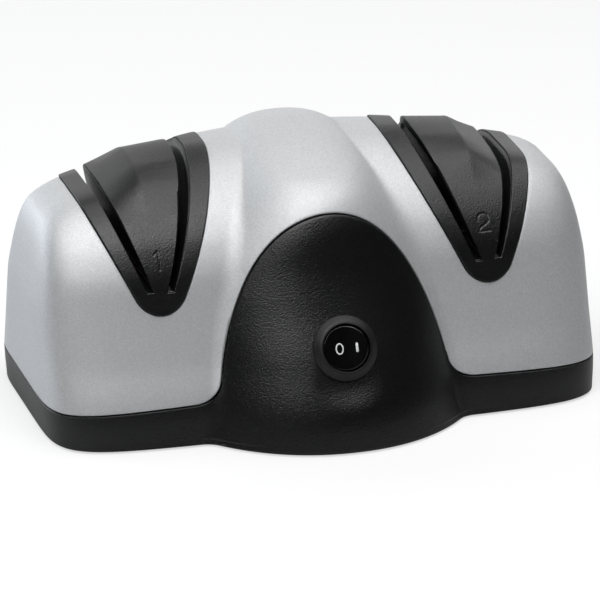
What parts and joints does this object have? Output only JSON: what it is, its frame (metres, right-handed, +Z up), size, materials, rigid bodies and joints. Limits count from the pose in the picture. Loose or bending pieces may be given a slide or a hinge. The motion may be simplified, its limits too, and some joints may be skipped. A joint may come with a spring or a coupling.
{
  "type": "electric knife sharpener",
  "caption": "Two-stage electric knife sharpener with a silver winged housing, black arched front, slotted guide inserts and a round rocker switch.",
  "frame": {"origin": "on the table, under the middle of the body's width and depth", "axes": "+Z up, the front with the switch faces -Y, +X to the right seen from the front"},
  "size_m": [0.222, 0.1455, 0.1046],
  "materials": {
    "silver_paint": "satin metallic silver paint with a fine sparkle",
    "black_plastic": "fine spark-eroded texture",
    "gloss_black": "glossy",
    "rubber": "matte",
    "steel": "bright zinc plated",
    "laminations": "stacked sheets with cut edges",
    "copper": "enamelled wire",
    "bronze": "sintered",
    "nylon": "natural moulded",
    "coarse_grit": "coarse bonded abrasive",
    "fine_grit": "fine bonded abrasive"
  },
  "bodies": {
    "housing": {"upper_housing": "silver_paint", "lower_housing": "black_plastic", "guide_insert_coarse": "black_plastic", "guide_insert_fine": "black_plastic", "switch_body": "gloss_black", "cord_gland": "rubber", "foot_front_left": "rubber", "foot_front_right": "rubber", "foot_rear_left": "rubber", "foot_rear_right": "rubber", "housing_screw_front_left": "steel", "housing_screw_front_right": "steel", "housing_screw_rear_left": "steel", "housing_screw_rear_right": "steel", "stator_stack": "laminations", "stator_core_bar": "laminations", "coil_bobbin": "nylon", "coil_winding": "copper", "bracket_left": "steel", "bracket_right": "steel", "bearing_left": "bronze", "bearing_right": "bronze", "motor_screw_front_left": "steel", "motor_screw_front_right": "steel", "motor_screw_rear_left": "steel", "motor_screw_rear_right": "steel", "stack_bolt_front": "steel", "stack_bolt_rear": "steel"},
    "spindle": {"shaft": "steel", "rotor": "laminations", "cooling_fan": "nylon", "wheel_hub_coarse": "steel", "wheel_hub_fine": "steel", "grinding_wheel_coarse": "coarse_grit", "grinding_wheel_fine": "fine_grit", "wheel_nut_coarse": "steel", "wheel_nut_fine": "steel"},
    "rocker": {"switch_rocker": "gloss_black"}
  },
  "joints": [
    {"name": "spindle_spin", "type": "hinge", "parent": "housing", "child": "spindle", "pos_m": [0, 0.0134, 0.04], "axis": [1, 0, 0], "continuous": true},
    {"name": "rocker_tilt", "type": "hinge", "parent": "housing", "child": "rocker", "pos_m": [0, -0.05621, 0.03734], "axis": [0, 0.4258, 0.9048], "range_deg": [0, 12]}
  ]
}
